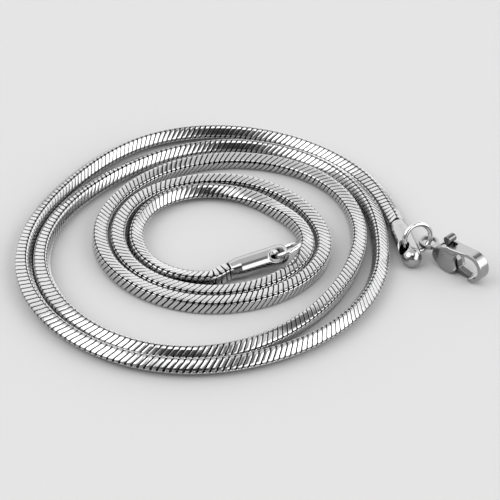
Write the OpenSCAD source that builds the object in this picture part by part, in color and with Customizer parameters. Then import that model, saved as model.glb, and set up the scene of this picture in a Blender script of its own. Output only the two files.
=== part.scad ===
// Snake chain necklace lying in an open flat coil, with lobster clasp.
// Millimetres, +Z up, the surface it lies on is z = 0, and the origin is the middle of its box.

/* [Chain] */
// Width of the chain across two opposite flat faces
chain_w = 2.1; // [1.6:0.05:2.1]
// Radius of the chain's four rounded edges
chain_edge_r = 0.42; // [0.3:0.02:0.6]
// Width of the chain's end where it is pressed into a cap
neck_w = 1.5; // [1.3:0.05:1.6]
// How far the chain's end goes into a cap
neck_depth = 1.6; // [1:0.1:3]
// How far the narrow end starts before a cap's lip
neck_lead = 0.15; // [0.1:0.05:0.3]
// Length over which the chain narrows to its end
neck_taper = 0.25; // [0.15:0.05:0.5]

/* [End caps] */
// Outer diameter of an end cap
cap_od = 3; // [2.8:0.05:3.3]
// Length of an end cap from its lip to the top of its dome
cap_len = 9.2; // [8.5:0.1:11]
// Outer diameter of the lip where the chain goes in
lip_od = 2.5; // [2.4:0.05:2.7]
// Length of the taper behind the lip
lip_len = 1.5; // [1:0.1:2]
// Depth of the bore that holds the chain's end
cap_bore_depth = 4; // [3.2:0.1:4.5]
// Diameter of the cross hole
cross_hole_d = 2.1; // [2:0.05:2.2]
// Distance from the middle of the clasp cap's cross hole to the top of its dome
clasp_hole_inset = 2.9; // [2.7:0.05:3.1]
// Distance from the middle of the tail cap's cross hole to the top of its dome
tail_hole_inset = 2.1; // [2:0.05:2.2]
// Width of the bevel round the cross hole
cross_hole_bevel = 0.2; // [0.1:0.05:0.25]

/* [Jump rings] */
// Diameter of a jump ring's wire
wire_d = 0.75; // [0.6:0.05:0.8]
// Outer diameter of a jump ring
ring_od = 5; // [4.9:0.05:5.3]

/* [Clasp] */
// Thickness of the clasp's body from cheek to cheek
clasp_t = 3; // [2.6:0.1:3.2]
// Thickness of the clasp's hook
hook_t = 1.9; // [1.7:0.1:2.2]
// Thickness of the lever
lever_t = 0.95; // [0.85:0.05:1.2]
// Outer radius of the hook
hook_r = 2.25; // [2.15:0.05:2.3]
// Radius of the opening inside the hook
opening_r = 1.65; // [1.55:0.05:1.7]
// Diameter of the hole in the clasp's eye
eye_hole_d = 2.1; // [2.05:0.05:2.15]
// Wall round the hole in the clasp's eye
eye_wall = 0.4; // [0.35:0.05:0.6]
// Height of the clasp's eye
eye_h = 0.7; // [0.6:0.05:0.8]
// Diameter of the pivot pin
pin_d = 0.7; // [0.6:0.05:0.8]
// Reach of the lever from its pivot to the end of its gate
gate_reach = 4.6; // [4.5:0.05:4.65]
// Diameter of the thumb knob
knob_d = 1.2; // [1:0.1:1.3]
// Width of the thumb knob
knob_w = 1.6; // [1.2:0.1:2]

/* [Clearances] */
// Gap between the chain's end and the bore of a cap
neck_gap = 0.1; // [0.05:0.01:0.15]
// Gap on each side of the lever
lever_gap = 0.1; // [0.08:0.01:0.15]
// Gap round the pivot pin
pin_gap = 0.05; // [0.04:0.01:0.08]
// Gap between the end of the gate and the nose of the hook
gate_gap = 0.12; // [0.08:0.01:0.2]

/* [Hidden] */
$fn = 48;
// Cuts run this far past the faces that they cut
past = 0.5;

// Centre of the coil, and the angle from one route point to the next
coil_at = [-4.5, 1];
route_step = 20;
// The chain's route from the clasp end inwards, as radii from the coil's centre.
// Each row is a turn and starts at 0 degrees, which is +X, and the angle grows towards +Y.
chain_route = [
    [25.4, 25.6, 26.4, 26.8, 27.4, 27.6, 27.4, 26.2, 26.2, 28.0, 30.2, 31.4, 31.4, 30.2, 27.8, 26.0, 24.6, 23.4],
    [22.4, 23.0, 23.8, 24.0, 23.8, 23.2, 22.2, 22.0, 23.2, 25.4, 27.6, 28.6, 28.8, 27.6, 25.0, 22.0, 20.0, 19.2],
    [19.4, 20.2, 21.0, 20.8, 20.0, 19.2, 18.6, 18.0, 18.2, 18.4, 18.4, 17.8, 17.0, 16.2, 15.4, 15.0, 14.8, 14.8],
    [14.4, 13.8, 13.6, 13.6, 13.8, 14.0, 14.4, 15.2, 15.6, 15.8, 15.8, 15.4, 14.6, 13.8, 13.0, 12.6, 12.4, 12.2],
    [11.8, 11.0, 10.2, 10.0, 10.4, 11.2, 12.0, 12.6, 13.0, 13.2, 13.4, 13.0, 12.0, 10.6, 8.8]];
// How far the chain is rolled about its own length at the same points, in degrees.
// At 0 it lies on a flat face, and at 45 it stands on an edge.
chain_roll = [
    [40, 40, 40, 40, 40, 40, 35, 35, 30, 30, 30, 35, 40, 45, 45, 40, 35, 30],
    [25, 25, 30, 35, 40, 40, 35, 30, 25, 20, 25, 35, 45, 50, 30, 10, 5, 5],
    [15, 0, -20, -20, -20, -20, -15, -10, -5, -5, -5, -5, 0, 0, 0, 0, 5, 5],
    [5, -5, -10, -10, -10, -10, -5, -5, 0, 0, 0, 0, 0, 0, 5, 10, 15, 15],
    [15, 10, 5, -5, -25, -40, -45, -40, -35, -20, -15, -15, -10, -10, -5]];
route = [for (row = chain_route) each row];
roll = [for (row = chain_roll) each row];
// Route point where the outer turns end and the inner turns begin
split_point = 36;

// Eight corners of the chain's section: a square with its four edges cut off
cut = chain_edge_r * 0.8;
half = chain_w / 2;
section = [[half, half - cut], [half - cut, half], [cut - half, half], [-half, half - cut],
    [-half, cut - half], [cut - half, -half], [half - cut, -half], [half, cut - half]];
sides = len(section);
neck_share = neck_w / chain_w;

// Where the lip of each end cap lies, and its compass turn, upward tilt and spin about its own axis
clasp_cap_at = [20.9, 5.2];
clasp_cap_turn = -77;
clasp_cap_tilt = 0;
clasp_cap_spin = 52;
tail_cap_at = [-3.6, -7.6];
tail_cap_turn = 25;
tail_cap_tilt = 6;
tail_cap_spin = 48;
cap_bore_d = 2 * norm(section[0]) * neck_share + 2 * neck_gap;
clasp_hole_x = cap_len - clasp_hole_inset;
tail_hole_x = cap_len - tail_hole_inset;

// Middle radius of a jump ring's wire
ring_r = (ring_od - wire_d) / 2;
// Swing of the clasp's ring back from upright, and how far its wire lies off the cross hole's middle
clasp_ring_lean = 20;
clasp_ring_slack = 0.15;
// Shift of the tail ring's wire from the cross hole's middle, its turn about the cap and its lift
tail_ring_slack = -0.3;
tail_ring_turn = 10;
tail_ring_lift = 8;

// The clasp's compass turn, its nose's lift in degrees, and the play of its eye on the ring
clasp_turn = -43;
clasp_pitch = 1.5;
eye_play = 0;
// Swing of the eye round the ring, from straight below the cross hole's axis
eye_swing = 8;

// Places on the clasp, measured from the middle of the eye: along the clasp, and up
pivot = [3.9, 0.3];
hook_at = [8.15, 0.1];
opening_at = [8.1, 0.05];
belly_at = [4.4, -0.1];
belly_r = 2.05;
heel_at = [2.75, -0.35];
heel_r = 1.1;
knob_at = [3.7, 2.62];
// The cheeks end on this circle round the opening, so that the lever shows
relief_r = 2.55;
// Where the neck of the eye starts and ends, and its width
neck_from = eye_hole_d / 2 + 0.1;
neck_to = 2.4;
eye_neck_w = 1.4;
// Top of the body from the heel to the hook
brow_at = [1.9, 0.6];
crest_at = [3.3, 1.75];
// Underside of the spine over the lever, and where the slot for the knob ends
spine_under = 1.4;
slot_from = 2.3;
slot_to = 4.85;
slot_end = 6.6;
floor_from = 3.4;
floor_to = 4.6;
// The body's section: half width of the crest, and heights where the cheeks start and end
crest_half = 0.95;
cheek_top = 1.2;
cheek_low = -1.3;
sole_half = 1.45;
// The body's plan: where the cheeks reach their full width and where they narrow to the hook
heel_half = 0.9;
full_from = 3;
full_to = 5.6;
hook_from = 7.4;
slot_w = lever_t + 2 * lever_gap;
// The lever's outline: web and gate
web_back = [3.3, -0.2];
web_low = [4.9, -1.6];
gate_low = [6, -2];
gate_top = [6.15, -1.1];
gate_drop = 0.7;
web_nose = [5.8, 0];
web_top = [5.3, 0.55];
boss_wall = 0.45;
stem_low_half = 0.45;
stem_high_half = 0.35;

// Turns of a point about the X, Y and Z axes
function about_x(a, p) = [p.x, p.y * cos(a) - p.z * sin(a), p.y * sin(a) + p.z * cos(a)];
function about_y(a, p) = [p.x * cos(a) + p.z * sin(a), p.y, p.z * cos(a) - p.x * sin(a)];
function about_z(a, p) = [p.x * cos(a) - p.y * sin(a), p.x * sin(a) + p.y * cos(a), p.z];

// A point given in a cap's own frame, with its axis along X from the lip at 0
function on_cap(at, turn, tilt, spin, p) =
    [at.x, at.y, cap_od / 2] + about_z(turn, about_y(-tilt, about_x(spin, p)));
function on_clasp_cap(p) = on_cap(clasp_cap_at, clasp_cap_turn, clasp_cap_tilt, clasp_cap_spin, p);
function on_tail_cap(p) = on_cap(tail_cap_at, tail_cap_turn, tail_cap_tilt, tail_cap_spin, p);

// A list's value at point i, smoothed with its neighbours as a cubic spline does
function smooth(list, i) = (list[i - 1] + 4 * list[i] + list[i + 1]) / 6;

// Height of the section's middle above the floor when it is rolled by a
function rolled_half(a) = max([for (c = section) c.x * sin(a) + c.y * cos(a)]);

// The chain's middle line at route point i, and its roll there
function route_point(i) = let (r = smooth(route, i), a = i * route_step)
    [coil_at.x + r * cos(a), coil_at.y + r * sin(a), rolled_half(smooth(roll, i))];
first_point = 1;
last_point = len(route) - 2;

// Stations along the chain: middle, roll and share of the full width
clasp_end_stations = [
    [on_clasp_cap([neck_depth, 0, 0]), roll[0], neck_share],
    [on_clasp_cap([-neck_lead, 0, 0]), roll[0], neck_share],
    [on_clasp_cap([-neck_lead - neck_taper, 0, 0]), roll[0], 1]];
tail_end_stations = [
    [on_tail_cap([-neck_lead - neck_taper, 0, 0]), roll[len(roll) - 1], 1],
    [on_tail_cap([-neck_lead, 0, 0]), roll[len(roll) - 1], neck_share],
    [on_tail_cap([neck_depth, 0, 0]), roll[len(roll) - 1], neck_share]];
stations = concat(clasp_end_stations,
    [for (i = [first_point : last_point]) [route_point(i), smooth(roll, i), 1]],
    tail_end_stations);
split_station = split_point + len(clasp_end_stations) - first_point;

// Unit vector along v
function unit(v) = v / norm(v);

// Direction of the chain at station i, level with the floor
function heading(i) = let (
        a = stations[max(i - 1, 0)][0],
        b = stations[min(i + 1, len(stations) - 1)][0])
    unit([b.x - a.x, b.y - a.y, 0]);

// The section's corners at station i: inward is to the left of the chain's direction
function ring_points(i) = let (
        t = heading(i),
        inward = [-t.y, t.x, 0],
        s = stations[i])
    [for (c = section) let (
            x = s[2] * (c.x * cos(s[1]) - c.y * sin(s[1])),
            y = s[2] * (c.x * sin(s[1]) + c.y * cos(s[1])))
        s[0] + inward * x + [0, 0, y]];

// A tube through stations first to last, with each side's quadrilaterals cut in two triangles
module tube(first, last) {
    rings = last - first;
    polyhedron(
        points = [for (i = [first : last]) each ring_points(i)],
        faces = concat(
            [[for (j = [0 : sides - 1]) j]],
            [for (i = [0 : rings - 1], j = [0 : sides - 1])
                let (a = i * sides + j, b = i * sides + (j + 1) % sides)
                [a, a + sides, b + sides]],
            [for (i = [0 : rings - 1], j = [0 : sides - 1])
                let (a = i * sides + j, b = i * sides + (j + 1) % sides)
                [a, b + sides, b]],
            [[for (j = [sides - 1 : -1 : 0]) rings * sides + j]]));
}

// Puts children from a cap's own frame into place
module at_cap(at, turn, tilt, spin) {
    translate([at.x, at.y, cap_od / 2])
        rotate([0, 0, turn])
            rotate([0, -tilt, 0])
                rotate([spin, 0, 0])
                    children();
}

// Domed tube with its lip at 0 and its axis along X, bored for the chain and cross drilled along Z
module end_cap(hole_x) {
    difference() {
        rotate([0, 90, 0])
            union() {
                cylinder(d1 = lip_od, d2 = cap_od, h = lip_len);
                translate([0, 0, lip_len])
                    cylinder(d = cap_od, h = cap_len - cap_od / 2 - lip_len);
                translate([0, 0, cap_len - cap_od / 2])
                    sphere(d = cap_od);
            }
        translate([-past, 0, 0])
            rotate([0, 90, 0])
                cylinder(d = cap_bore_d, h = cap_bore_depth + past);
        translate([hole_x, 0, -cap_od])
            cylinder(d = cross_hole_d, h = 2 * cap_od);
        for (side = [0, 180])
            translate([hole_x, 0, 0])
                rotate([side, 0, 0])
                    translate([0, 0, cap_od / 2 - 2 * cross_hole_bevel])
                        cylinder(d1 = cross_hole_d, d2 = cross_hole_d + 4 * cross_hole_bevel,
                            h = 2 * cross_hole_bevel);
    }
}

// Round wire ring about Z
module jump_ring() {
    rotate_extrude()
        translate([ring_r, 0])
            circle(d = wire_d);
}

// Stands a flat outline of the clasp up and gives it a thickness about the clasp's middle plane
module upright(t) {
    rotate([90, 0, 0])
        linear_extrude(height = t, center = true)
            children();
}

// Puts children from the clasp's own frame, with the eye's middle at 0, into place
module at_clasp() {
    translate(on_clasp_cap([clasp_hole_x, 0, 0]
            + about_z(clasp_ring_lean, [0, ring_r * (1 + sin(eye_swing)) + clasp_ring_slack, 0])
            - [0, 0, ring_r * cos(eye_swing)]))
        rotate([0, -clasp_pitch, clasp_turn])
            translate([eye_play, 0, 0])
                children();
}

// Side outline of the clasp's body, without its eye
module body_outline() {
    difference() {
        union() {
            translate(hook_at)
                circle(r = hook_r);
            translate(belly_at)
                circle(r = belly_r);
            translate(heel_at)
                circle(r = heel_r);
            polygon([heel_at, brow_at, crest_at, [hook_at.x, hook_at.y + hook_r], hook_at, belly_at]);
            polygon([[heel_at.x, heel_at.y - heel_r], heel_at, belly_at, [belly_at.x, belly_at.y - belly_r]]);
        }
        translate(opening_at)
            circle(r = opening_r);
        // The cheeks stop short of the opening
        intersection() {
            translate(opening_at)
                circle(r = relief_r);
            translate([0, opening_at.y + opening_r - 2 * relief_r])
                square([opening_at.x, 2 * relief_r]);
        }
        // The mouth that the gate closes, cut round the pivot
        intersection() {
            translate(pivot)
                circle(r = gate_reach + gate_gap);
            translate([opening_at.x - opening_r, -2 * hook_r])
                square(2 * hook_r);
        }
    }
}

// The body seen from above, which narrows to the heel and to the hook
module body_plan() {
    polygon([[0, -heel_half], [full_from, -clasp_t / 2], [full_to, -clasp_t / 2],
        [hook_from, -hook_t / 2], [hook_at.x + 2 * hook_r, -hook_t / 2],
        [hook_at.x + 2 * hook_r, hook_t / 2], [hook_from, hook_t / 2],
        [full_to, clasp_t / 2], [full_from, clasp_t / 2], [0, heel_half]]);
}

// The body seen from its end, with sloping shoulders
module body_section() {
    polygon([[crest_half, 2 * hook_r], [crest_half, hook_r], [clasp_t / 2, cheek_top],
        [clasp_t / 2, cheek_low], [sole_half, -hook_r], [sole_half, -2 * hook_r],
        [-sole_half, -2 * hook_r], [-sole_half, -hook_r], [-clasp_t / 2, cheek_low],
        [-clasp_t / 2, cheek_top], [-crest_half, hook_r], [-crest_half, 2 * hook_r]]);
}

// The room for the lever inside the body
module lever_room() {
    polygon([[slot_from, 2 * hook_r], [slot_from, web_back.y], [floor_from, web_low.y],
        [floor_to, -2 * hook_r], [slot_end, -2 * hook_r], [slot_end, spine_under],
        [slot_to, spine_under], [slot_to, 2 * hook_r]]);
}

module chain_outer_turns() {
    color("silver")
        tube(0, split_station);
}

module chain_inner_turns() {
    color("lightgray")
        tube(split_station, len(stations) - 1);
}

module clasp_end_cap() {
    color("gainsboro")
        at_cap(clasp_cap_at, clasp_cap_turn, clasp_cap_tilt, clasp_cap_spin)
            end_cap(clasp_hole_x);
}

module tail_end_cap() {
    color("gainsboro")
        at_cap(tail_cap_at, tail_cap_turn, tail_cap_tilt, tail_cap_spin)
            end_cap(tail_hole_x);
}

module clasp_jump_ring() {
    color("whitesmoke")
        at_cap(clasp_cap_at, clasp_cap_turn, clasp_cap_tilt, clasp_cap_spin)
            translate([clasp_hole_x, 0, 0])
                rotate([0, 0, clasp_ring_lean])
                    translate([0, ring_r + clasp_ring_slack, 0])
                        rotate([0, 90, 0])
                            jump_ring();
}

module tail_jump_ring() {
    color("whitesmoke")
        at_cap(tail_cap_at, tail_cap_turn, tail_cap_tilt, tail_cap_spin)
            translate([tail_hole_x + tail_ring_slack, 0, 0])
                rotate([tail_ring_turn, 0, tail_ring_lift])
                    translate([ring_r, 0, 0])
                        rotate([90, 0, 0])
                            jump_ring();
}

module clasp_body() {
    color("lightsteelblue")
        at_clasp()
            difference() {
                union() {
                    intersection() {
                        upright(clasp_t)
                            body_outline();
                        translate([0, 0, -2 * hook_r])
                            linear_extrude(height = 4 * hook_r)
                                body_plan();
                        rotate([90, 0, 90])
                            linear_extrude(height = hook_at.x + 2 * hook_r)
                                body_section();
                    }
                    // The eye and the neck that carries it
                    translate([0, 0, -eye_h / 2])
                        cylinder(d = eye_hole_d + 2 * eye_wall, h = eye_h);
                    translate([neck_from, -eye_neck_w / 2, -eye_h / 2])
                        cube([neck_to - neck_from, eye_neck_w, eye_h]);
                }
                upright(slot_w)
                    lever_room();
                translate([0, 0, -eye_h])
                    cylinder(d = eye_hole_d, h = 2 * eye_h);
                upright(2 * clasp_t)
                    translate(pivot)
                        circle(d = pin_d + 2 * pin_gap);
            }
}

// Side outline of the lever: boss, web and gate, and the stem of the knob
module lever_outline() {
    translate(pivot)
        circle(d = pin_d + 2 * boss_wall);
    intersection() {
        translate(pivot)
            circle(r = gate_reach);
        polygon([web_back, web_low, gate_low, [hook_at.x + hook_r, gate_low.y],
            [hook_at.x + hook_r, gate_top.y - gate_drop], gate_top, web_nose, web_top,
            [pivot.x, web_top.y]]);
    }
    polygon([[pivot.x - stem_low_half, pivot.y], [pivot.x + stem_low_half, pivot.y],
        [knob_at.x + stem_high_half, knob_at.y], [knob_at.x - stem_high_half, knob_at.y]]);
}

module clasp_lever() {
    color("slategray")
        at_clasp()
            difference() {
                union() {
                    upright(lever_t)
                        lever_outline();
                    upright(knob_w)
                        translate(knob_at)
                            circle(d = knob_d);
                }
                upright(2 * clasp_t)
                    translate(pivot)
                        circle(d = pin_d + 2 * pin_gap);
            }
}

module clasp_pin() {
    color("dimgray")
        at_clasp()
            upright(clasp_t)
                translate(pivot)
                    circle(d = pin_d);
}

chain_outer_turns();
chain_inner_turns();
clasp_end_cap();
tail_end_cap();
clasp_jump_ring();
tail_jump_ring();
clasp_body();
clasp_lever();
clasp_pin();
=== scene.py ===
"""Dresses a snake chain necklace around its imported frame.

The chain has a square section and lies in an open flat coil. Each end is held in a domed cap,
a jump ring goes through each cap, and a lobster clasp with a sprung lever hangs on one ring.
Sizes are in millimetres until a mesh is made, and every finished object stands at the origin.
"""

from __future__ import annotations

import logging
import math
from dataclasses import dataclass, field
from enum import Enum
from functools import partial

import bmesh
import bpy
import numpy as np
from mathutils import Matrix


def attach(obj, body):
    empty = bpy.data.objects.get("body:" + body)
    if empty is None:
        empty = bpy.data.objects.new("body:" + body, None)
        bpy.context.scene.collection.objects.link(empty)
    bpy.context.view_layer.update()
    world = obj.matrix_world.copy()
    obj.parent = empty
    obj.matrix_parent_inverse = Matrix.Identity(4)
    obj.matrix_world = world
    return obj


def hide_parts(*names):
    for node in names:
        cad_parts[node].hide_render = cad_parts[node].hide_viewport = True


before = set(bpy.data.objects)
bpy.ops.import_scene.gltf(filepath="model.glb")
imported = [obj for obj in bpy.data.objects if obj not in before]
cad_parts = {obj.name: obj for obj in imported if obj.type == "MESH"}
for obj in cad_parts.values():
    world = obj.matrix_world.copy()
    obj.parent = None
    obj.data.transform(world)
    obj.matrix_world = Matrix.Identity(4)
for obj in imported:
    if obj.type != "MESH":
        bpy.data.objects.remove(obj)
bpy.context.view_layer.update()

LOG = logging.getLogger("necklace")
MM = 0.001  # A millimetre in metres.
SQUARE = 4  # Faces of the chain's square section.
CAP_RADIUS = 1.5

Colour = tuple[float, float, float]
Vector = tuple[float, float, float]
Surface = tuple[np.ndarray, list[np.ndarray]]


class Body(str, Enum):
    """The moving bodies of the necklace."""

    NECKLACE = "necklace"
    LEVER = "lever"


class Slot(str, Enum):
    """The record's material slots."""

    CHAIN = "chain_steel"
    CAP = "cap_steel"
    RING = "ring_steel"
    CLASP = "clasp_steel"
    LEVER = "lever_steel"


class Axis(str, Enum):
    """The axes of a frame."""

    X = "X"
    Y = "Y"
    Z = "Z"


def add_object(name: str, data: bpy.types.ID) -> bpy.types.Object:
    """Puts an object with the given mesh or camera into the scene, at the origin."""
    obj = bpy.data.objects.new(name, data)
    bpy.context.scene.collection.objects.link(obj)
    return obj


def make_mesh(name: str, points: np.ndarray, faces: list[np.ndarray]) -> bpy.types.Object:
    """Makes a smooth shaded object from points in millimetres and arrays of faces.

    Args:
        name: The object's name.
        points: Array (n, 3) of vertices.
        faces: Arrays (m, k) of vertex numbers, each with its own count of corners k.

    Returns:
        The linked object, at the origin.
    """
    loops = np.concatenate([f.reshape(-1) for f in faces])
    totals = np.concatenate([np.full(len(f), f.shape[1]) for f in faces])
    starts = np.concatenate([[0], np.cumsum(totals)[:-1]])
    mesh = bpy.data.meshes.new(name)
    mesh.vertices.add(len(points))
    mesh.vertices.foreach_set("co", (points * MM).astype(np.float32).reshape(-1))
    mesh.loops.add(len(loops))
    mesh.loops.foreach_set("vertex_index", loops.astype(np.int32))
    mesh.polygons.add(len(totals))
    mesh.polygons.foreach_set("loop_start", starts.astype(np.int32))
    mesh.polygons.foreach_set("use_smooth", np.ones(len(totals), bool))
    mesh.update(calc_edges=True)
    mesh.validate()
    return add_object(name, mesh)


def outward(points: np.ndarray, faces: list[np.ndarray]) -> list[np.ndarray]:
    """Turns all faces of a closed surface round if they point inwards.

    The volume inside is the sum over each face's fan of a . (b x c) / 6, which is negative when
    the faces point inwards.

    Args:
        points: Array (n, 3) of vertices.
        faces: Arrays (m, k) of vertex numbers.

    Returns:
        The faces, pointing outwards.
    """
    volume = 0.0
    for group in faces:
        for k in range(1, group.shape[1] - 1):
            a, b, c = points[group[:, 0]], points[group[:, k]], points[group[:, k + 1]]
            volume += np.einsum("ij,ij->", a, np.cross(b, c)) / 6
    return faces if volume > 0 else [group[:, ::-1] for group in faces]


def node_points(node: str) -> np.ndarray:
    """Vertices of a CAD node in millimetres, as an array (n, 3)."""
    return mesh_points(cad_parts[node])


def mesh_points(obj: bpy.types.Object) -> np.ndarray:
    """Vertices of an object's mesh in millimetres, as an array (n, 3)."""
    flat = np.empty(len(obj.data.vertices) * 3, np.float32)
    obj.data.vertices.foreach_get("co", flat)
    return flat.reshape(-1, 3).astype(float) / MM


def place_points(obj: bpy.types.Object, points: np.ndarray) -> None:
    """Moves the vertices of an object's mesh to an array (n, 3) of places in millimetres."""
    obj.data.vertices.foreach_set("co", (points * MM).astype(np.float32).reshape(-1))
    obj.data.update()


def set_attribute(obj: bpy.types.Object, name: str, values: np.ndarray) -> None:
    """Stores one number per vertex under a name that materials can read."""
    layer = obj.data.attributes.new(name, "FLOAT", "POINT")
    layer.data.foreach_set("value", values.astype(np.float32))


def tube_faces(rings: int, sides: int, closed: bool = False) -> np.ndarray:
    """Quadrilaterals between successive rings of points.

    Args:
        rings: Count of rings, each of `sides` points that run counter-clockwise
            when the tube's direction points at the viewer.
        sides: Count of points in a ring.
        closed: Whether the last ring joins the first.

    Returns:
        Array (n, 4) of vertex numbers, with the faces pointing outwards.
    """
    spans = rings if closed else rings - 1
    i, j = np.meshgrid(np.arange(spans), np.arange(sides), indexing="ij")
    a = i * sides + j
    b = i * sides + (j + 1) % sides
    c = ((i + 1) % rings) * sides + (j + 1) % sides
    d = ((i + 1) % rings) * sides + j
    return np.stack([a, b, c, d], -1).reshape(-1, 4)


def tube_ends(rings: int, sides: int) -> np.ndarray:
    """The flat faces at the ends of such a tube, pointing outwards, as an array (2, sides)."""
    ring = np.arange(sides)
    return np.array([ring[::-1], (rings - 1) * sides + ring])


def smooth_share(value: np.ndarray) -> np.ndarray:
    """Smooth step: 3 s^2 - 2 s^3, with s the value held between 0 and 1."""
    s = np.clip(value, 0, 1)
    return s * s * (3 - 2 * s)


def merged_copy(node: str, name: str, merge: float = 0.002) -> bpy.types.Object:
    """Copies a CAD node's mesh under a new name and joins its loose triangles.

    Args:
        node: The CAD node.
        name: The copy's name.
        merge: Points nearer than this, in millimetres, become one.

    Returns:
        The linked copy, smooth shaded, with no material.
    """
    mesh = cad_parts[node].data.copy()
    mesh.name = name
    mesh.materials.clear()
    for extra in list(mesh.color_attributes):
        mesh.color_attributes.remove(extra)
    obj = add_object(name, mesh)
    weld = obj.modifiers.new("weld", "WELD")
    weld.merge_threshold = merge * MM
    apply_modifiers(obj)
    obj.data.polygons.foreach_set("use_smooth", np.ones(len(obj.data.polygons), bool))
    return obj


def apply_modifiers(obj: bpy.types.Object) -> None:
    """Puts the result of an object's modifiers into its mesh and removes them.

    Args:
        obj: The object, which has a mesh of its own.
    """
    graph = bpy.context.evaluated_depsgraph_get()
    result = bpy.data.meshes.new_from_object(obj.evaluated_get(graph), depsgraph=graph)
    old = obj.data
    obj.modifiers.clear()
    obj.data = result
    result.name = obj.name
    bpy.data.meshes.remove(old)


def soften(
    obj: bpy.types.Object,
    voxel: float,
    rounds: int,
    axes: np.ndarray | None = None,
    pull: float = 0.5,
) -> None:
    """Turns a sharp solid into a cast one: an even grid of faces whose edges are then rounded.

    Args:
        obj: The object whose mesh is changed.
        voxel: Size of the grid, in millimetres.
        rounds: How often each point moves towards the mean of its neighbours.
        axes: Array (3, 3) whose rows are the directions of the grid, or None for X, Y and Z.
        pull: Share of the way to that mean that a point moves each time.
    """
    turn = np.eye(3) if axes is None else axes
    place_points(obj, mesh_points(obj) @ turn.T)
    remesh = obj.modifiers.new("remesh", "REMESH")
    remesh.mode = "VOXEL"
    remesh.voxel_size = voxel * MM
    remesh.use_smooth_shade = True
    smooth = obj.modifiers.new("smooth", "SMOOTH")
    smooth.factor = pull
    smooth.iterations = rounds
    apply_modifiers(obj)
    place_points(obj, mesh_points(obj) @ turn)


def sharpen(obj: bpy.types.Object, ring: int, lines: tuple[int, ...], last: int) -> None:
    """Marks lines along a swept form as sharp, so that the face between them stays flat.

    Args:
        obj: The object, whose points come in rings of equal size.
        ring: Count of points in a ring.
        lines: Numbers in the ring of the points that the sharp lines join.
        last: Only points before this one count.
    """
    mesh = obj.data
    pairs = np.empty(len(mesh.edges) * 2, np.int32)
    mesh.edges.foreach_get("vertices", pairs)
    pairs = pairs.reshape(-1, 2)
    along = (pairs[:, 0] % ring == pairs[:, 1] % ring) & np.isin(pairs[:, 0] % ring, lines)
    sharp = mesh.attributes.new("sharp_edge", "BOOLEAN", "EDGE")
    sharp.data.foreach_set("value", along & (pairs.max(1) < last))


def spline_value(table: np.ndarray, at: np.ndarray) -> np.ndarray:
    """Uniform cubic spline of a table: a weighted mean of the four rows round each place.

    With t the share of the way from row i to row i + 1, the weights of rows i - 1 to i + 2 are
    (1-t)^3, 3t^3-6t^2+4, -3t^3+3t^2+3t+1 and t^3, all over 6.

    Args:
        table: Control values, one per row.
        at: Places between 1 and the last row but one.

    Returns:
        One value for each place.
    """
    i = np.minimum(np.floor(at).astype(int), len(table) - 3)
    t = at - i
    weights = [(1 - t) ** 3, 3 * t**3 - 6 * t**2 + 4, -3 * t**3 + 3 * t**2 + 3 * t + 1, t**3]
    return sum(w * table[i + k - 1] for k, w in enumerate(weights)) / 6


def turn_matrix(axis: Axis, degrees: float) -> np.ndarray:
    """Matrix (3, 3) that turns points about an axis."""
    return np.array(Matrix.Rotation(math.radians(degrees), 3, axis.value))


@dataclass(frozen=True)
class CapPlace:
    """Where an end cap lies.

    Attributes:
        lip: Place of the middle of its lip, seen from above.
        turn: Compass angle of its axis, in degrees.
        tilt: Rise of its axis from the lip to the dome, in degrees.
        spin: Turn of its cross hole about the axis, in degrees.
        radius: Its outer radius, which is also the height of the lip's middle.
    """

    lip: tuple[float, float]
    turn: float
    tilt: float
    spin: float
    radius: float = CAP_RADIUS

    def point(self, along: float) -> np.ndarray:
        """A point on the cap's axis, measured from its lip towards its dome."""
        return np.array([*self.lip, self.radius]) + self.axis() * along

    def matrix(self) -> np.ndarray:
        """Turns points from the cap's own frame: its axis is X and its cross hole is Z."""
        tilted = turn_matrix(Axis.Z, self.turn) @ turn_matrix(Axis.Y, -self.tilt)
        return tilted @ turn_matrix(Axis.X, self.spin)

    def axis(self) -> np.ndarray:
        """Direction from the lip to the dome."""
        return self.matrix()[:, 0]


CLASP_CAP = CapPlace(lip=(20.9, 5.2), turn=-77, tilt=0, spin=52)
TAIL_CAP = CapPlace(lip=(-3.6, -7.6), turn=25, tilt=6, spin=48)


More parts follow.
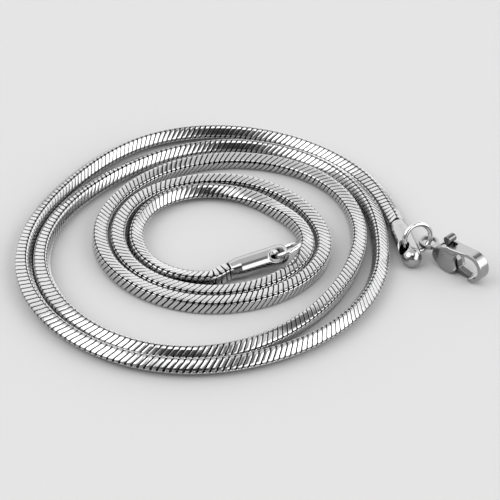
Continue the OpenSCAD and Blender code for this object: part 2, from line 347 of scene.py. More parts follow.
@dataclass
class Route:
    """The chain's middle line and its roll, from the clasp cap inwards to the tail cap.

    The radius and the roll are splines over the compass angle, and a cubic curve joins each end
    to its cap's axis.

    Attributes:
        centre: Middle of the coil, seen from above.
        step: Degrees from one entry of the tables to the next.
        half_width: Half the width of the square section.
        edge_radius: Radius of its rounded edges.
        neck_depth: How far the chain goes into a cap.
        lead: How far outside a cap the route meets the cap's axis.
        samples_per_step: Count of points for each entry of the tables.
        radii: Distances from the centre, in rows of half a turn.
        rolls: Roll of the section in degrees, in rows of a whole turn.
        split_row: Entry where the outer turns end.
        middle: Array (n, 3) of points on the route.
        roll: Roll at each point.
        length: Distance of each point along the route.
        start: Distance where the route leaves the clasp cap's axis.
        end: Distance where it meets the tail cap's axis.
        split: Distance where the outer turns end.
    """

    centre: tuple[float, float] = (-4.5, 1.0)
    step: float = 20.0
    half_width: float = 1.05
    edge_radius: float = 0.42
    neck_depth: float = 1.6
    lead: float = 0.12
    samples_per_step: int = 40
    radii: tuple[tuple[float, ...], ...] = (
        (25.4, 25.6, 26.4, 26.8, 27.4, 27.6, 27.4, 26.2, 26.2),
        (28.0, 30.2, 31.4, 31.4, 30.2, 27.8, 26.0, 24.6, 23.4),
        (22.4, 23.0, 23.8, 24.0, 23.8, 23.2, 22.2, 22.0, 23.2),
        (25.4, 27.6, 28.6, 28.8, 27.6, 25.0, 22.0, 20.0, 19.2),
        (19.4, 20.2, 21.0, 20.8, 20.0, 19.2, 18.6, 18.0, 18.2),
        (18.4, 18.4, 17.8, 17.0, 16.2, 15.4, 15.0, 14.8, 14.8),
        (14.4, 13.8, 13.6, 13.6, 13.8, 14.0, 14.4, 15.2, 15.6),
        (15.8, 15.8, 15.4, 14.6, 13.8, 13.0, 12.6, 12.4, 12.2),
        (11.8, 11.0, 10.2, 10.0, 10.4, 11.2, 12.0, 12.6, 13.0, 13.2, 13.4, 13.0, 12.0, 10.6, 8.8),
    )
    rolls: tuple[tuple[float, ...], ...] = (
        (40, 40, 40, 40, 40, 40, 35, 35, 30, 30, 30, 35, 40, 41, 41, 38, 35, 30),
        (25, 25, 30, 35, 40, 40, 35, 30, 25, 20, 25, 35, 47, 48, 34, 12, 5, 5),
        (15, 0, -20, -20, -20, -20, -15, -10, -5, -5, -5, -5, 0, 0, 0, 0, 5, 5),
        (5, -5, -10, -10, -10, -10, -5, -5, 0, 0, 0, 0, 0, 0, 1, 4, 9, 13),
        (15, 10, 4, -16, -37, -47, -50, -44, -35, -20, -15, -15, -10, -10, -5),
    )
    split_row: int = 36
    middle: np.ndarray = field(init=False)
    roll: np.ndarray = field(init=False)
    length: np.ndarray = field(init=False)
    start: float = field(init=False)
    end: float = field(init=False)
    split: float = field(init=False)

    def __post_init__(self) -> None:
        """Samples the whole route closely and measures it."""
        radius = np.array([r for row in self.radii for r in row])
        rolls = np.array([float(r) for row in self.rolls for r in row])
        last = len(radius) - 2
        places = np.linspace(1, last, (last - 1) * self.samples_per_step + 1)
        r = spline_value(radius, places)
        a = np.radians(places * self.step)
        roll = spline_value(rolls, places)
        x = self.centre[0] + r * np.cos(a)
        y = self.centre[1] + r * np.sin(a)
        coil = np.stack([x, y, self.rest_height(roll)], -1)
        lip, way = CLASP_CAP.point(-self.lead), -CLASP_CAP.axis()
        first = self.bridge(lip, way, coil[0], coil[1] - coil[0])
        lip, way = TAIL_CAP.point(-self.lead), TAIL_CAP.axis()
        final = self.bridge(coil[-1], coil[-1] - coil[-2], lip, way)
        neck = CLASP_CAP.point(self.neck_depth)[None]
        tail = TAIL_CAP.point(self.neck_depth)[None]
        self.middle = np.concatenate([neck, first[:-1], coil, final[1:], tail])
        share = np.linspace(0, 1, len(first))
        lead_in = rolls[0] + (roll[0] - rolls[0]) * share[:-1]
        lead_out = roll[-1] + (rolls[-1] - roll[-1]) * share[1:]
        self.roll = np.concatenate([rolls[:1], lead_in, roll, lead_out, rolls[-1:]])
        steps = np.linalg.norm(np.diff(self.middle, axis=0), axis=1)
        self.length = np.concatenate([[0], np.cumsum(steps)])
        self.start = self.length[1]
        self.end = self.length[-2]
        self.split = self.length[len(first) + (self.split_row - 1) * self.samples_per_step]

    def rest_height(self, roll: np.ndarray) -> np.ndarray:
        """Height of the middle when the rounded square section, rolled, touches the floor.

        It is half the width of a face's flat part times |cos| + |sin|, plus the edge radius.

        Args:
            roll: Array of roll angles in degrees.

        Returns:
            The height at each of them.
        """
        a = np.radians(roll)
        core = self.half_width - self.edge_radius
        return core * (np.abs(np.cos(a)) + np.abs(np.sin(a))) + self.edge_radius

    def bridge(
        self, p: np.ndarray, from_dir: np.ndarray, q: np.ndarray, to_dir: np.ndarray
    ) -> np.ndarray:
        """Cubic curve between two points, with a given direction at each.

        With t from 0 to 1, it is (2t^3-3t^2+1) p + (t^3-2t^2+t) m0 + (3t^2-2t^3) q + (t^3-t^2) m1,
        where m0 and m1 are the directions, as long as the way from p to q.

        Args:
            p: Where the curve starts.
            from_dir: Its direction there.
            q: Where it ends.
            to_dir: Its direction there.

        Returns:
            Array (samples_per_step, 3) of its points.
        """
        span = np.linalg.norm(q - p)
        m0 = from_dir / np.linalg.norm(from_dir) * span
        m1 = to_dir / np.linalg.norm(to_dir) * span
        t = np.linspace(0, 1, self.samples_per_step)[:, None]
        return (
            (2 * t**3 - 3 * t**2 + 1) * p
            + (t**3 - 2 * t**2 + t) * m0
            + (3 * t**2 - 2 * t**3) * q
            + (t**3 - t**2) * m1
        )

    def place(self, along: np.ndarray, inward: np.ndarray, up: np.ndarray) -> np.ndarray:
        """Bends points of a straight chain onto the route.

        Args:
            along: Distance of each point along the chain.
            inward: Its offset in the rolled section, towards the coil's inside at no roll.
            up: Its offset at right angles to that, upwards at no roll.

        Returns:
            Array (n, 3) of the points in place.
        """
        middle = np.stack([np.interp(along, self.length, self.middle[:, k]) for k in range(3)], -1)
        direction = np.gradient(self.middle, self.length, axis=0)
        ahead = np.stack([np.interp(along, self.length, direction[:, k]) for k in range(3)], -1)
        ahead /= np.linalg.norm(ahead, axis=1)[:, None]
        side = np.stack([-ahead[:, 1], ahead[:, 0], np.zeros(len(ahead))], -1)
        side /= np.linalg.norm(side, axis=1)[:, None]
        top = np.cross(ahead, side)
        a = np.radians(np.interp(along, self.length, self.roll))
        x = inward * np.cos(a) - up * np.sin(a)
        y = inward * np.sin(a) + up * np.cos(a)
        return middle + side * x[:, None] + top * y[:, None]


def add_node(
    tree: bpy.types.NodeTree, kind: str, inputs: dict[str | int, object], **options: object
) -> bpy.types.Node:
    """Adds a shader node and feeds its sockets.

    Args:
        tree: The node tree.
        kind: The node's type, without "ShaderNode" before it.
        inputs: A constant, or the output that feeds it, for each socket's name or number.
        options: The node's properties, which are set first.

    Returns:
        The new node.
    """
    node = tree.nodes.new(f"ShaderNode{kind}")
    for name, value in options.items():
        setattr(node, name, value)
    for name, value in inputs.items():
        if isinstance(value, bpy.types.NodeSocket):
            tree.links.new(value, node.inputs[name])
        else:
            node.inputs[name].default_value = value
    return node


@dataclass(frozen=True)
class Polish:
    """The polish that all the steels share, as one node group.

    A soft noise over the piece shifts the colour and the roughness a little, and a fine noise
    that is stretched along one axis stands for the marks that polishing leaves.

    Attributes:
        name: The group's name.
        noise_mean: Level of the noise at which nothing is shifted.
        patch_scale: Soft patches per metre.
        patch_detail: Count of finer noises over the patches.
        patch_shade: How far the patches shift the colour.
        mark_turn: Turn of the marks about X, Y and Z, in radians.
        mark_scale: Their scale along X, Y and Z, less where they are stretched.
        mark_detail: Count of finer noises over the marks.
        mark_depth: Their depth at full strength, in metres.
    """

    name: str = "polish"
    noise_mean: float = 0.5
    patch_scale: float = 450.0
    patch_detail: float = 3.0
    patch_shade: float = 0.12
    mark_turn: Vector = (0.3, 0.2, 0.7)
    mark_scale: Vector = (1.0, 0.12, 1.0)
    mark_detail: float = 4.0
    mark_depth: float = 0.00005

    def build(self) -> bpy.types.NodeTree:
        """Builds the node group, or finds it if it is there.

        Returns:
            A node group with a colour, a roughness and a normal.
        """
        found = bpy.data.node_groups.get(self.name)
        if found:
            return found
        group = bpy.data.node_groups.new(self.name, "ShaderNodeTree")
        face = group.interface
        face.new_socket("Colour", in_out="INPUT", socket_type="NodeSocketColor")
        for name in ("Roughness", "Haze", "Scratches", "Grain"):
            face.new_socket(name, in_out="INPUT", socket_type="NodeSocketFloat")
        face.new_socket("Colour", in_out="OUTPUT", socket_type="NodeSocketColor")
        face.new_socket("Roughness", in_out="OUTPUT", socket_type="NodeSocketFloat")
        face.new_socket("Normal", in_out="OUTPUT", socket_type="NodeSocketVector")
        inputs = group.nodes.new("NodeGroupInput").outputs
        outputs = group.nodes.new("NodeGroupOutput").inputs
        add = partial(add_node, group)
        place = add("TexCoord", {}).outputs["Object"]

        soft = {"Vector": place, "Scale": self.patch_scale, "Detail": self.patch_detail}
        patches = add("TexNoise", soft).outputs["Fac"]
        level = add("Math", {0: patches, 1: self.noise_mean}, operation="SUBTRACT").outputs[0]
        haze = {0: level, 1: inputs["Haze"], 2: inputs["Roughness"]}
        roughness = add("Math", haze, operation="MULTIPLY_ADD").outputs[0]
        gain = {0: level, 1: self.patch_shade, 2: 1.0}
        shade = add("Math", gain, operation="MULTIPLY_ADD").outputs[0]
        tint = {0: inputs["Colour"], "Scale": shade}
        colour = add("VectorMath", tint, operation="SCALE").outputs[0]

        stretch = {"Vector": place, "Rotation": self.mark_turn, "Scale": self.mark_scale}
        along = add("Mapping", stretch).outputs["Vector"]
        fine = {"Vector": along, "Scale": inputs["Grain"], "Detail": self.mark_detail}
        marks = add("TexNoise", fine).outputs["Fac"]
        relief = {"Height": marks, "Strength": inputs["Scratches"], "Distance": self.mark_depth}
        normal = add("Bump", relief).outputs["Normal"]

        group.links.new(colour, outputs["Colour"])
        group.links.new(roughness, outputs["Roughness"])
        group.links.new(normal, outputs["Normal"])
        return group


POLISH = Polish()


@dataclass(frozen=True)
class Steel:
    """A polished steel finish, which can also paint shade into the gaps of a piece.

    Attributes:
        name: The material's name.
        colour: Its base colour, as linear red, green and blue.
        roughness: Its mean roughness.
        haze: How far the roughness changes between clear and hazy patches.
        scratches: Strength of the fine polishing marks.
        grain: Spacing of the marks, as marks per metre.
        recess_shade: Colour of the painted shade in the deep gaps, mixed in by a point attribute.
    """

    name: str
    colour: Colour
    roughness: float
    haze: float
    scratches: float
    grain: float
    recess_shade: Colour | None = None

    def build(self) -> bpy.types.Material:
        """Builds the material: the shared polish group feeds a metallic surface."""
        material = bpy.data.materials.new(self.name)
        material.use_nodes = True
        tree = material.node_tree
        surface = tree.nodes["Principled BSDF"]
        surface.inputs["Metallic"].default_value = 1.0
        values = {
            "Colour": (*self.colour, 1),
            "Roughness": self.roughness,
            "Haze": self.haze,
            "Scratches": self.scratches,
            "Grain": self.grain,
        }
        polish = add_node(tree, "Group", values, node_tree=POLISH.build())
        colour = polish.outputs["Colour"]
        # Painted shade: the base colour turns towards the near black colour in a piece's gaps.
        if self.recess_shade is not None:
            groove_shade = add_node(tree, "Attribute", {}, attribute_name="groove_shade").outputs["Fac"]
            layers = {"Factor": groove_shade, "A": colour, "B": (*self.recess_shade, 1)}
            colour = add_node(tree, "Mix", layers, data_type="RGBA").outputs["Result"]
        tree.links.new(colour, surface.inputs["Base Color"])
        tree.links.new(polish.outputs["Roughness"], surface.inputs["Roughness"])
        tree.links.new(polish.outputs["Normal"], surface.inputs["Normal"])
        return material


# Chain steel, with near black painted shade for the gaps between bars and for the core.
CHAIN_STEEL = Steel(
    "chain_polish",
    (0.53, 0.53, 0.53),
    roughness=0.12,
    haze=0.04,
    scratches=0.03,
    grain=3000.0,
    recess_shade=(0.008, 0.008, 0.009),
)
# Cap steel, with near black painted shade for the bore and the cross hole.
CAP_STEEL = Steel(
    "cap_polish",
    (0.42, 0.42, 0.42),
    roughness=0.13,
    haze=0.05,
    scratches=0.04,
    grain=2500.0,
    recess_shade=(0.008, 0.008, 0.008),
)
RING_STEEL = Steel(
    "ring_polish", (0.62, 0.62, 0.62), roughness=0.08, haze=0.03, scratches=0.03, grain=2500.0
)
CLASP_STEEL = Steel(
    "clasp_satin", (0.37, 0.37, 0.37), roughness=0.20, haze=0.08, scratches=0.08, grain=2000.0
)
# Painted shade: the lever has the clasp's steel painted much darker, to stand for the shade on it.
LEVER_STEEL = Steel(
    "lever_satin_shaded", (0.17, 0.17, 0.17), roughness=0.16, haze=0.08, scratches=0.08, grain=2000.0
)


def dress(obj: bpy.types.Object, finish: Steel, slot: Slot, body: Body, *nodes: str) -> None:
    """Gives a piece its finish and body, and lets it stand for CAD nodes.

    Args:
        obj: The piece.
        finish: Its steel.
        slot: The record's material slot; not used.
        body: The body that it moves with.
        nodes: The CAD nodes that it replaces.
    """
    material = bpy.data.materials.get(finish.name) or finish.build()
    obj.data.materials.clear()
    obj.data.materials.append(material)
    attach(obj, body.value)
    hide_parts(*nodes)
    LOG.info("%s: %d faces", obj.name, len(obj.data.polygons))


@dataclass
class SnakeChain:
    """The square snake chain: four slanted bars a link, side by side round a core painted dark as
    shade.

    Attributes:
        route: The path and the roll that the chain follows.
        pitch: Length of a link.
        face_shift: How far a face's bars lie ahead of the last face's, in links.
        bar_share: Width of a bar, as a share of the pitch.
        slant: How far a bar's tips lie ahead of its middle and behind it.
        even_slant: Share of the slant that grows evenly towards the tips.
        curved_slant: Share of it that grows as a sine.
        flat_reach: Stations on the flat part of a face.
        tip_angles: Stations round the rounded edge, in degrees from the flat, tip first.
        tip_length: Length over which a bar narrows to its tip.
        tip_share: Width of the tip, as a share of the bar's.
        tip_drop: How far the tip dips.
        tip_shade: Strength of the painted shade at the tip.
        flat_share: Where a bar's crown ends, as a share of its half width.
        crown: Height of the crown.
        shoulder: Depth at which a bar's side begins.
        shoulder_shade: Groove value there.
        depth: Depth at which the side ends.
        ring: Count of points round a bar.
        sharp_lines: Numbers of the points where the crown ends.
        straighten: Length at a cap over which the slant grows from nothing.
        core_inset: Depth of the core below the faces.
        core_cut: How far the core's corners are cut.
        core_step: Distance between its rings of points.
        neck_share: Width of the neck in a cap, as a share of the core's.
        neck_reach: How far the neck shows outside a cap.
        cap_gap: Gap that the links leave at a cap.
    """

    route: Route
    pitch: float = 0.838
    face_shift: float = 0.75
    bar_share: float = 0.86
    slant: float = 0.524
    even_slant: float = 0.45
    curved_slant: float = 0.55
    flat_reach: tuple[float, ...] = (-0.40, 0.0, 0.40)
    tip_angles: tuple[float, ...] = (39.0, 29.0, 13.0)
    tip_length: float = 0.24
    tip_share: float = 0.50
    tip_drop: float = 0.06
    tip_shade: float = 0.5
    flat_share: float = 0.82
    crown: float = 0.02
    # shoulder_shade: Strength of the painted shade there.
    shoulder: float = 0.08
    shoulder_shade: float = 0.4
    depth: float = 0.32
    ring: int = 7
    sharp_lines: tuple[int, ...] = (2, 4)
    straighten: float = 5.0
    core_inset: float = 0.16
    core_cut: float = 0.40
    core_step: float = 1.2
    neck_share: float = 0.80
    neck_reach: float = 0.3
    cap_gap: float = 0.02

    def bar_grid(self) -> tuple[np.ndarray, ...]:
        """One bar on a straight chain, as a closed ring of points at each station across the face.

        A station lies at t across the face and n above the middle. Over the flat part n is the
        half width, and past it the station goes round the rounded edge by its tip angle. With x
        the share of the way to the tip, the bar's middle runs along the chain by
        slant * (even_slant x + curved_slant sin(pi x / 2)). The bar's width is constant, and
        with s the share of the tip length that is passed it shrinks as s^2, the bar dips as s^4
        and its painted shade grows as s^6. Its sides are painted dark as shade too.
        and it darkens as s^6.

        Returns:
            Five arrays (stations, ring): how far along the chain a point moves by the slant and
            by the width, then t, n and the strength of the painted shade.
        """
        r = self.route.edge_radius
        core = self.route.half_width - r
        bar = self.pitch * self.bar_share / 2
        left = [
            (-core - r * math.sin(math.radians(a)), core + r * math.cos(math.radians(a)), -a)
            for a in self.tip_angles
        ]
        flat = [(t, self.route.half_width, 0.0) for t in self.flat_reach]
        right = [(-t, n, -a) for t, n, a in reversed(left)]
        t, n, angle = np.array(left + flat + right).T
        angle = np.radians(angle)
        reach = np.abs(np.where(angle == 0, t, np.sign(t) * (core + r * np.abs(angle))))
        tip = core + r * math.radians(self.tip_angles[0])
        inside = np.clip((reach - tip) / self.tip_length + 1, 0, 1)
        half = bar * (1 - (1 - self.tip_share) * inside**2)
        x = np.sign(t) * reach / tip
        slide = self.slant * (self.even_slant * x + self.curved_slant * np.sin(np.pi * x / 2))
        across = np.array([-1.0, -1.0, -self.flat_share, 0.0, self.flat_share, 1.0, 1.0])
        # Painted shade: full at the foot of a bar's sides, partial at its shoulders, none on top,
        # growing at the tips.
        side, shade = [-self.depth, -self.shoulder], [1.0, self.shoulder_shade]
        rise = np.array([*side, 0.0, self.crown, 0.0, *reversed(side)])
        dark = np.array([*shade, 0.0, 0.0, 0.0, *reversed(shade)])
        drop = self.tip_drop * inside**4
        height = rise[None, :] - drop[:, None]
        tt = t[:, None] + np.sin(angle)[:, None] * height
        nn = n[:, None] + np.cos(angle)[:, None] * height
        width = half[:, None] * across[None, :]
        groove_shade = np.maximum(dark[None, :], self.tip_shade * inside[:, None] ** 6)
        return np.broadcast_to(slide[:, None], tt.shape), width, tt, nn, groove_shade

    def bars(
        self, first: float, last: float, count: int
    ) -> tuple[np.ndarray, list[np.ndarray], np.ndarray]:
        """All bars of a run of links, in place.

        Args:
            first: Where the run starts along the route.
            last: Where it ends.
            count: Count of links.

        Returns:
            The points, the faces and each point's strength of painted shade.
        """
        slide, width, tt, nn, dark = self.bar_grid()
        pitch = (last - first) / count
        link, face = np.divmod(np.arange(count * SQUARE), SQUARE)
        centre = first + ((link + self.face_shift * face) % count + 0.5) * pitch
        near = np.minimum(centre - self.route.start, self.route.end - centre)
        ease = smooth_share(near / self.straighten)
        along = centre[:, None, None] + slide[None] * ease[:, None, None] + width[None]
        turn = face * (2 * math.pi / SQUARE)
        c, s = np.cos(turn)[:, None, None], np.sin(turn)[:, None, None]
        inward = tt[None] * c - nn[None] * s
        up = tt[None] * s + nn[None] * c
        points = self.route.place(along.reshape(-1), inward.reshape(-1), up.reshape(-1))
        stations, ring = tt.shape
        starts = (np.arange(count * SQUARE) * stations * ring)[:, None, None]
        sides = starts + tube_faces(stations, ring)[None]
        tips = starts + tube_ends(stations, ring)[None]
        faces = outward(points, [sides.reshape(-1, 4), tips.reshape(-1, ring)])
        return points, faces, np.broadcast_to(dark[None], along.shape).reshape(-1)

    def core(self, first: float, last: float, neck_in: bool, neck_out: bool) -> Surface:
        """The tube inside the links, painted near black as shade, with a neck where it goes into a
        cap.

        Its section is a square with its corners cut, swept along the route.

        Args:
            first: Where the tube starts along the route.
            last: Where it ends.
            neck_in: Whether a neck goes from its start into the clasp cap.
            neck_out: Whether a neck goes from its end into the tail cap.

        Returns:
            The points and the faces.
        """
        stations = np.append(np.arange(first, last, self.core_step), last)
        if neck_in:
            stations = np.concatenate([[self.route.length[0]], stations])
        if neck_out:
            stations = np.append(stations, self.route.length[-1])
        half = self.route.half_width - self.core_inset
        cut = half - self.core_cut
        right = np.array([[half, -cut], [half, cut]])
        top = right[::-1, ::-1]
        section = np.concatenate([right, top, -right, -top])
        start, end = self.route.start + self.neck_reach, self.route.end - self.neck_reach
        share = np.where((stations < start) | (stations > end), self.neck_share, 1.0)
        inward = (share[:, None] * section[None, :, 0]).reshape(-1)
        up = (share[:, None] * section[None, :, 1]).reshape(-1)
        rings, sides = len(stations), len(section)
        points = self.route.place(np.repeat(stations, sides), inward, up)
        return points, outward(points, [tube_faces(rings, sides), tube_ends(rings, sides)])

    def build(self) -> None:
        """Makes the outer and the inner turns, each as one piece."""
        start, end = self.route.start + self.cap_gap, self.route.end - self.cap_gap
        total = round((end - start) / self.pitch)
        outer = round((self.route.split - start) / self.pitch)
        joint = start + (end - start) * outer / total
        self.make("links_outer", "chain_outer_turns", start, joint, outer, is_outer=True)
        self.make("links_inner", "chain_inner_turns", joint, end, total - outer, is_outer=False)

    def make(
        self, name: str, node: str, first: float, last: float, count: int, is_outer: bool
    ) -> None:
        """Makes one run of links with its core and dresses it.

        Args:
            name: The piece's name.
            node: The CAD node that it replaces.
            first: Where the run starts along the route.
            last: Where it ends.
            count: Count of links.
            is_outer: Whether it starts at the clasp cap, and doesn't end at the tail cap.
        """
        bars, bar_faces, groove_shade = self.bars(first, last, count)
        low = first - self.cap_gap if is_outer else first
        high = last if is_outer else last + self.cap_gap
        core, core_faces = self.core(low, high, neck_in=is_outer, neck_out=not is_outer)
        faces = bar_faces + [f + len(bars) for f in core_faces]
        obj = make_mesh(name, np.concatenate([bars, core]), faces)
        sharpen(obj, self.ring, self.sharp_lines, len(bars))
        # Painted shade: the bars' sides and tips are darkened and the core is painted near black.
        set_attribute(obj, "groove_shade", np.concatenate([groove_shade, np.ones(len(core))]))
        dress(obj, CHAIN_STEEL, Slot.CHAIN, Body.NECKLACE, node)


@dataclass
class EndCap:
    """A domed end cap, turned from bar, bored for the chain and cross drilled for a ring.

    Attributes:
        node: The CAD node that it replaces.
        name: The piece's name.
        place: Where it lies.
        hole_at: Distance of the cross hole from the lip.
        length: Length from the lip to the top of the dome.
        radius: Radius of the barrel and of the dome.
        lip_radius: Radius of the lip.
        lip_length: Length over which the lip widens to the barrel.
        bore_radius: Radius of the bore.
        bore_depth: Depth of the bore.
        blind_radius: Radius of the tiny face that closes its blind end.
        hole_radius: Radius of the cross hole.
        flare: Depth below the skin at which the cross hole starts to widen.
        edge: Width of the bevels inside and outside the lip.
        dome_end: Angle at which the dome ends in a tiny face, in degrees.
        dome_steps: Count of points on the dome's curve.
        sides: Count of points round the cap.
        voxel: Size of the grid of faces.
        rounds: How often the edges are rounded.
        shade_from: Depth below the skin where the painted shade inside starts.
        shade_to: Depth where the painted shade is full.
    """

    node: str
    name: str
    place: CapPlace
    hole_at: float
    length: float = 9.2
    radius: float = CAP_RADIUS
    lip_radius: float = 1.25
    lip_length: float = 1.5
    bore_radius: float = 0.93
    bore_depth: float = 4.0
    blind_radius: float = 0.02
    hole_radius: float = 1.05
    flare: float = 0.4
    edge: float = 0.08
    dome_end: float = 89.0
    dome_steps: int = 40
    sides: int = 96
    voxel: float = 0.05
    rounds: int = 6
    shade_from: float = 0.16
    shade_to: float = 0.55

    def turned(self, profile: np.ndarray, along: Axis) -> Surface:
        """Closed surface of revolution: (x, r) becomes (x, r cos a, r sin a).

        Args:
            profile: Array (n, 2) of places along the axis and radii, from end to end.
            along: The axis that it is turned about, X or Z.

        Returns:
            The points and the faces, with a flat face at each end.
        """
        a = np.linspace(0, 2 * math.pi, self.sides, endpoint=False)[None, :]
        x, r = profile[:, :1] + 0 * a, profile[:, 1:]
        points = np.stack([x, r * np.cos(a), r * np.sin(a)], -1).reshape(-1, 3)
        if along is Axis.Z:
            points = points[:, [1, 2, 0]]
        rings = len(profile)
        faces = [tube_faces(rings, self.sides), tube_ends(rings, self.sides)]
        return points, outward(points, faces)

    def barrel(self) -> np.ndarray:
        """Profile from the bore's blind end over the lip and the barrel to the top of the dome."""
        dome_at = self.length - self.radius
        arc = np.radians(np.linspace(0, self.dome_end, self.dome_steps))
        dome = np.stack([dome_at + self.radius * np.sin(arc), self.radius * np.cos(arc)], -1)
        lip = [
            (self.bore_depth, self.blind_radius),
            (self.bore_depth, self.bore_radius),
            (self.edge, self.bore_radius),
            (0, self.bore_radius + self.edge),
            (0, self.lip_radius - self.edge),
            (self.edge, self.lip_radius),
            (self.lip_length, self.radius),
        ]
        return np.concatenate([np.array(lip), dome])

    def drill(self) -> np.ndarray:
        """Profile of the cross drill, which flares where it leaves the barrel."""
        far, mouth = 2 * self.radius, self.radius - self.flare
        wide = self.hole_radius + far - mouth
        return np.array(
            [(-far, wide), (-mouth, self.hole_radius), (mouth, self.hole_radius), (far, wide)]
        )

    def build(self) -> None:
        """Drills the turned form, rounds its edges and paints shade on its inside."""
        obj = make_mesh(self.name, *self.turned(self.barrel(), Axis.X))
        points, faces = self.turned(self.drill(), Axis.Z)
        tool = make_mesh("drill", points + [self.hole_at, 0, 0], faces)
        cut = obj.modifiers.new("cross_hole", "BOOLEAN")
        cut.object = tool
        cut.operation = "DIFFERENCE"
        cut.solver = "EXACT"
        soften(obj, self.voxel, self.rounds)
        bpy.data.objects.remove(tool)
        local = mesh_points(obj)
        # Painted shade: the bore and the cross hole darken the deeper they lie.
        set_attribute(obj, "groove_shade", self.inside(local))
        place_points(obj, local @ self.place.matrix().T + self.place.point(0))
        dress(obj, CAP_STEEL, Slot.CAP, Body.NECKLACE, self.node)

    def inside(self, local: np.ndarray) -> np.ndarray:
        """How far inside the outer skin each point lies, which sets the painted shade there.

        Args:
            local: Array (n, 3) of points in the cap's own frame.

        Returns:
            The share for each point, from 0 at the skin to 1 well within, as the strength of the
            painted shade.
        """
        past_dome = np.maximum(local[:, 0] - (self.length - self.radius), 0)
        reach = np.sqrt(past_dome**2 + local[:, 1] ** 2 + local[:, 2] ** 2)
        taper = np.clip(local[:, 0] / self.lip_length, 0, 1)
        skin = self.lip_radius + (self.radius - self.lip_radius) * taper
        return smooth_share((skin - reach - self.shade_from) / (self.shade_to - self.shade_from))


@dataclass
class JumpRing:
    """A ring of round wire, swept about the axis of its CAD node.

    Attributes:
        node: The CAD node that it replaces.
        name: The piece's name.
        wire: Thickness of the wire.
        steps: Count of points round the ring.
        sides: Count of points round the wire.
    """

    node: str
    name: str
    wire: float = 0.75
    steps: int = 96
    sides: int = 24

    def build(self) -> None:
        """Sweeps a circle about the ring's axis: radius ring + wire cos b out, wire sin b up."""
        cloud = node_points(self.node)
        middle = (cloud.min(0) + cloud.max(0)) / 2
        _, _, axes = np.linalg.svd(cloud - middle, full_matrices=False)
        x, y = axes[0], axes[1]
        axis = np.cross(x, y)
        reach = np.abs((cloud - middle) @ x).max()
        ring = reach - self.wire / 2
        a = np.linspace(0, 2 * math.pi, self.steps, endpoint=False)[:, None]
        b = np.linspace(0, 2 * math.pi, self.sides, endpoint=False)[None, :]
        out = ring + self.wire / 2 * np.cos(b)
        points = (
            middle
            + (out * np.cos(a))[..., None] * x
            + (out * np.sin(a))[..., None] * y
            + (self.wire / 2 * np.sin(b) + 0 * a)[..., None] * axis
        )
        points = points.reshape(-1, 3)
        faces = outward(points, [tube_faces(self.steps, self.sides, closed=True)])
        obj = make_mesh(self.name, points, faces)
        dress(obj, RING_STEEL, Slot.RING, Body.NECKLACE, self.node)


@dataclass
class Clasp:
    """The lobster clasp: a cast body, a lever and a pin.

    Attributes:
        body_voxel: Size of the body's grid of faces.
        body_rounds: How often the body's edges are rounded.
        lever_voxel: Size of the lever's grid of faces.
        lever_rounds: How often the lever's edges are rounded.
        bore_fill: Width of the metal that fills the pin's bore, in widths of the pin.
        pin_edge: Width of the pin's rounded edges.
        pin_segments: Count of faces across them.
    """

    body_voxel: float = 0.05
    body_rounds: int = 22
    lever_voxel: float = 0.045
    lever_rounds: int = 7
    bore_fill: float = 1.13
    pin_edge: float = 0.08
    pin_segments: int = 3

    def axes(self) -> np.ndarray:
        """The clasp's own right-handed directions as rows: two across the pin, then along it."""
        cloud = node_points("clasp_pin")
        long = np.linalg.svd(cloud - cloud.mean(0), full_matrices=False)[2][0]
        body = node_points("clasp_body")
        offset = body - body.mean(0)
        flat = offset - (offset @ long)[:, None] * long
        side = np.linalg.svd(flat, full_matrices=False)[2][0]
        return np.stack([side, np.cross(long, side), long])

    def fill_bore(self, body: bpy.types.Object) -> None:
        """Adds the pin, fattened to its bore, to the body, so that its ends don't show.

        Args:
            body: The casting, whose mesh is changed.
        """
        plug = merged_copy("clasp_pin", "plug")
        cloud = mesh_points(plug)
        middle = (cloud.min(0) + cloud.max(0)) / 2
        offset = cloud - middle
        axis = self.axes()[2]
        along = (offset @ axis)[:, None] * axis
        place_points(plug, middle + along + (offset - along) * self.bore_fill)
        both = bmesh.new()
        both.from_mesh(body.data)
        both.from_mesh(plug.data)
        both.to_mesh(body.data)
        both.free()
        bpy.data.objects.remove(plug)

    def build(self) -> None:
        """Casts the body and the lever from their solids and rounds the pin's edges."""
        axes = self.axes()
        body = merged_copy("clasp_body", "clasp_casting")
        self.fill_bore(body)
        soften(body, self.body_voxel, self.body_rounds, axes)
        dress(body, CLASP_STEEL, Slot.CLASP, Body.NECKLACE, "clasp_body")
        lever = merged_copy("clasp_lever", "clasp_trigger")
        soften(lever, self.lever_voxel, self.lever_rounds, axes)
        dress(lever, LEVER_STEEL, Slot.LEVER, Body.LEVER, "clasp_lever")
        pin = merged_copy("clasp_pin", "clasp_rivet")
        bevel = pin.modifiers.new("bevel", "BEVEL")
        bevel.width = self.pin_edge * MM
        bevel.segments = self.pin_segments
        bevel.limit_method = "ANGLE"
        dress(pin, CLASP_STEEL, Slot.CLASP, Body.NECKLACE, "clasp_pin")


@dataclass(frozen=True)
class Card:
    """A round patch on the sky with a soft edge, bright or dark.

    Attributes:
        direction: Where its middle is, seen from the necklace.
        core: Angle from its middle out to which it is full, in degrees.
        edge: Angle at which it ends, in degrees.
        level: Its brightness.
    """

    direction: Vector
    core: float
    edge: float
    level: float


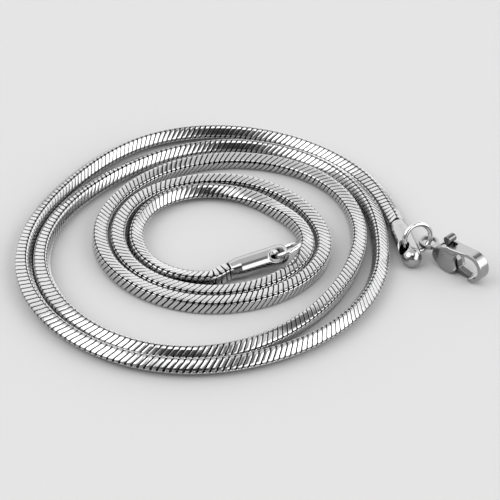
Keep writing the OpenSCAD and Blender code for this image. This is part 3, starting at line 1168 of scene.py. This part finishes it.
@dataclass
class Studio:
    """The pale floor, the soft lights and the camera.

    Attributes:
        target: Place on the floor that the camera looks at.
        elevation: The camera's angle above the floor, in degrees.
        bank: Its turn about its line of sight, in degrees.
        distance: Its distance from the target.
        lens: Its focal length.
        sensor: Width of its sensor.
        clip_start: Nearest distance that it sees, in metres.
        floor_reach: Distance of the floor's edges from its middle.
        floor_grey: The floor's colour.
        floor_roughness: The floor's roughness.
        front: Brightness of the sky in front of the necklace.
        back: Brightness of the sky behind it.
        fade_from: Share of a ray along Y at which the front's level starts to change.
        fade_to: Share at which it has become the back's.
        cards: Patches on the sky, each laid over those before it.
    """

    target: tuple[float, float] = (-0.85, -0.55)
    elevation: float = 37.2
    bank: float = 2.8
    distance: float = 248.7
    lens: float = 122.4
    sensor: float = 36.0
    clip_start: float = 0.01
    floor_reach: float = 900.0
    floor_grey: Colour = (0.51, 0.51, 0.51)
    floor_roughness: float = 0.9
    front: float = 0.25
    back: float = 1.5
    fade_from: float = -0.35
    fade_to: float = 0.45
    cards: tuple[Card, ...] = (
        Card((0.0, 0.25, 0.97), 22, 40, 1.0),
        Card((0.83, -0.18, 0.53), 20, 30, 3.4),
        Card((-0.68, -0.28, 0.66), 18, 30, 3.4),
        Card((0.0, -0.42, 0.90), 9, 18, 2.6),
        Card((0.38, 0.50, 0.79), 9, 15, 0.25),
        Card((0.66, -0.60, 0.32), 18, 24, 2.4),
        Card((0.05, -0.72, 0.69), 11, 16, 0.05),
    )

    def camera(self) -> None:
        """Stands the camera at the photograph's angle, aimed near the coil's middle."""
        e, b = math.radians(self.elevation), math.radians(self.bank)
        back = np.array([0, -math.cos(e), math.sin(e)])
        x, u = np.array([1.0, 0, 0]), np.array([0, math.sin(e), math.cos(e)])
        right = math.cos(b) * x + math.sin(b) * u
        up = math.cos(b) * u - math.sin(b) * x
        place = np.array([*self.target, 0]) + back * self.distance
        data = bpy.data.cameras.new("camera")
        data.lens = self.lens
        data.sensor_width = self.sensor
        data.clip_start = self.clip_start
        obj = add_object("camera", data)
        matrix = np.eye(4)
        matrix[:3, 0], matrix[:3, 1], matrix[:3, 2] = right, up, back
        matrix[:3, 3] = place * MM
        obj.matrix_world = Matrix(matrix.tolist())
        bpy.context.scene.camera = obj

    def floor(self) -> None:
        """Lays a wide pale floor under the necklace."""
        r = self.floor_reach
        points = np.array([[-r, -r, 0], [r, -r, 0], [r, r, 0], [-r, r, 0]])
        obj = make_mesh("floor", points, [np.array([[0, 1, 2, 3]])])
        material = bpy.data.materials.new("pale_floor")
        material.use_nodes = True
        surface = material.node_tree.nodes["Principled BSDF"]
        surface.inputs["Base Color"].default_value = (*self.floor_grey, 1)
        surface.inputs["Roughness"].default_value = self.floor_roughness
        surface.inputs["Specular IOR Level"].default_value = 0.0
        obj.data.materials.append(material)

    def world(self) -> None:
        """Paints the soft lights on the sky: each card is a round patch with a soft edge.

        The sky is grey, brighter behind the necklace than in front of it. A card's mask goes from
        0 to 1 smoothly as the angle between the ray and the card's middle falls from its edge to
        its core, and the sky there becomes the card's level.
        """
        world = bpy.data.worlds.new("studio")
        bpy.context.scene.world = world
        world.use_nodes = True
        tree = world.node_tree
        ray = add_node(tree, "TexCoord", {}).outputs["Generated"]
        sky = self.fade(tree, ray, (0.0, 1.0, 0.0), self.fade_from, self.fade_to)
        sky.inputs["A"].default_value = self.front
        sky.inputs["B"].default_value = self.back
        for card in self.cards:
            core, edge = math.cos(math.radians(card.core)), math.cos(math.radians(card.edge))
            patch = self.fade(tree, ray, card.direction, edge, core)
            tree.links.new(sky.outputs["Result"], patch.inputs["A"])
            patch.inputs["B"].default_value = card.level
            sky = patch
        tree.links.new(sky.outputs["Result"], tree.nodes["Background"].inputs["Color"])

    def fade(
        self,
        tree: bpy.types.NodeTree,
        ray: bpy.types.NodeSocket,
        direction: Vector,
        low: float,
        high: float,
    ) -> bpy.types.Node:
        """A mix that turns from A to B as a ray turns towards a direction.

        Args:
            tree: The world's nodes.
            ray: The output that gives the ray's direction.
            direction: The direction, of any length.
            low: The ray's share along the direction at which the mix is all A.
            high: The share at which it is all B.

        Returns:
            The mix, with nothing set on A and B.
        """
        unit = np.array(direction) / np.linalg.norm(direction)
        dot = add_node(tree, "VectorMath", {0: ray, 1: unit}, operation="DOT_PRODUCT")
        span = {"Value": dot.outputs["Value"], "From Min": low, "From Max": high}
        mask = add_node(tree, "MapRange", span, interpolation_type="SMOOTHSTEP")
        return add_node(tree, "Mix", {"Factor": mask.outputs["Result"]})

    def build(self) -> None:
        """Sets the whole studio up."""
        bpy.context.scene.view_settings.view_transform = "Standard"
        self.camera()
        self.floor()
        self.world()


def main() -> None:
    """Builds every piece in order and reports it."""
    logging.basicConfig(level=logging.INFO, format="%(name)s: %(message)s")
    Studio().build()
    SnakeChain(Route()).build()
    EndCap("clasp_end_cap", "clasp_cap", CLASP_CAP, hole_at=6.3).build()
    EndCap("tail_end_cap", "tail_cap", TAIL_CAP, hole_at=7.1).build()
    JumpRing("clasp_jump_ring", "clasp_ring").build()
    JumpRing("tail_jump_ring", "tail_ring").build()
    Clasp().build()


if __name__ == "__main__":
    main()
